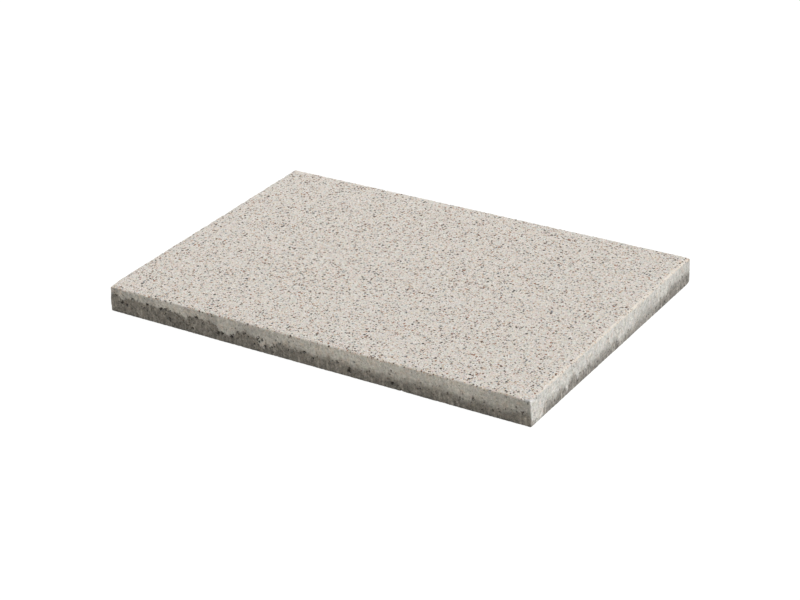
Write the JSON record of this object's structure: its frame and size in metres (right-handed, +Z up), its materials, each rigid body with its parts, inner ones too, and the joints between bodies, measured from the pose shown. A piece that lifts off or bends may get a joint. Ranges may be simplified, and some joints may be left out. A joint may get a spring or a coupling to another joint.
{
  "type": "concrete paving slab",
  "caption": "Rectangular pressed concrete paving slab: pale speckled blasted walking face, rounded arrises, grey backing in the sides; lies flat on a bed or pedestals.",
  "frame": {"origin": "middle of the underside, on the surface that the slab lies on", "axes": "+X along the length, +Y along the width, +Z up out of the walking face"},
  "size_m": [0.6, 0.4, 0.035],
  "materials": {
    "pressed_concrete": "pressed two-mix concrete, fine-blasted pale warm grey face with small granite grains, matt; rough darker grey backing low on the sides and underneath"
  },
  "bodies": {
    "root": {"paving_slab": "pressed_concrete"}
  },
  "joints": []
}
